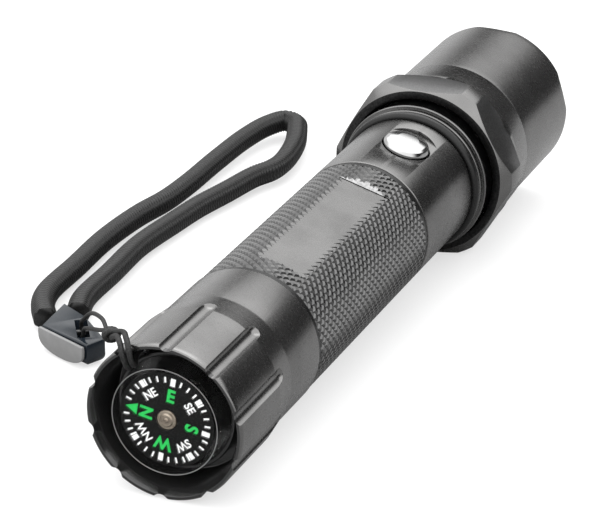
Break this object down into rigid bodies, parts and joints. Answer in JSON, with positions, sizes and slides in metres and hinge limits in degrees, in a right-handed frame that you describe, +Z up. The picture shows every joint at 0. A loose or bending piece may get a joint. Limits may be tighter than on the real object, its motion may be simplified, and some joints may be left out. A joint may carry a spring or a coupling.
{
  "type": "tactical flashlight",
  "caption": "Pocket torch with a sliding focus head on a hexagonal collar, a domed side switch, a compass set in its fluted screw tail cap and an elastic wrist strap.",
  "frame": {"origin": "Centre of the bottom of the torch's box without its strap: below the torch's axis, half way along its length, on the collar's bottom flat.", "axes": "+Y runs along the torch from the tail cap to the lamp, +Z is up from the collar's bottom flat, and +X is to the right seen from the tail; the strap lies on the -X side."},
  "size_m": [0.0808, 0.1757, 0.0353],
  "materials": {
    "anodised": "sand-blasted, dark grey anodised",
    "chrome": "polished",
    "brass": "satin turned",
    "steel": "plain drawn or turned",
    "rubber": "lightly greased black",
    "black_plastic": "smooth moulded",
    "clear_plastic": "clear polished",
    "dial_black": "matt, printed white and green",
    "circuit_board": "solder-masked",
    "lamp_yellow": "phosphor yellow, domed",
    "cell_sleeve": "plain shrink sleeve",
    "black_cord": "braided nylon over elastic",
    "clip_grey": "smooth moulded, dark slate",
    "clip_end": "pale grey moulded end plate"
  },
  "bodies": {
    "barrel": {"barrel_tube": "anodised", "switch_housing": "anodised", "neck_oring": "rubber", "neck_stop_ring": "steel", "focus_seal_ring": "rubber", "tail_seal_ring": "rubber", "battery_cassette": "black_plastic", "battery_cell_1": "cell_sleeve", "battery_cell_2": "cell_sleeve", "battery_cell_3": "cell_sleeve", "rear_contact_plate": "steel", "front_contact_plate": "steel", "rear_terminal": "brass", "front_terminal": "brass", "driver_board": "circuit_board", "driver_spring": "steel", "switch_carrier": "black_plastic", "switch_board": "circuit_board", "microswitch": "black_plastic", "lamp_lead_1": "rubber", "lamp_lead_2": "rubber", "lamp_heatsink": "brass", "lamp_board": "circuit_board", "lamp_emitter": "lamp_yellow"},
    "button": {"switch_button": "chrome"},
    "head": {"head_collar": "anodised", "head_shell": "anodised", "focus_lens": "clear_plastic", "lens_seal_ring": "rubber", "lens_retainer": "anodised"},
    "tail_carriage": {"tail_contact_disc": "brass", "tail_spring": "steel"},
    "tail_cap": {"tail_cap_shell": "anodised", "lanyard_pin": "steel", "compass_case": "black_plastic", "compass_capsule": "clear_plastic", "compass_pivot": "steel", "strap_string": "black_cord", "strap_clip": "clip_grey", "strap_clip_end": "clip_end", "strap_cord": "black_cord"},
    "dial": {"compass_card": "dial_black", "compass_hub": "brass", "compass_magnet": "steel"}
  },
  "joints": [
    {"name": "focus_slide", "type": "slide", "parent": "barrel", "child": "head", "axis": [0, 1, 0], "range_m": [-0.0028, 0.008]},
    {"name": "switch_press", "type": "slide", "parent": "barrel", "child": "button", "axis": [-0.2756, 0, -0.9613], "range_m": [0, 0.0012], "stiffness_N_per_m": 1500},
    {"name": "tail_travel", "type": "slide", "parent": "barrel", "child": "tail_carriage", "axis": [0, -1, 0], "range_m": [0, 0.005]},
    {"name": "tail_turn", "type": "hinge", "parent": "tail_carriage", "child": "tail_cap", "pos_m": [0, -0.066, 0.01765], "axis": [0, -1, 0], "range_deg": [0, 1440]},
    {"name": "dial_turn", "type": "hinge", "parent": "tail_cap", "child": "dial", "pos_m": [0, -0.0812, 0.01765], "axis": [0, 1, 0], "continuous": true}
  ],
  "couplings": [
    {"joint": "tail_travel", "follows": "tail_turn", "m_per_rad": 0.00019894}
  ]
}
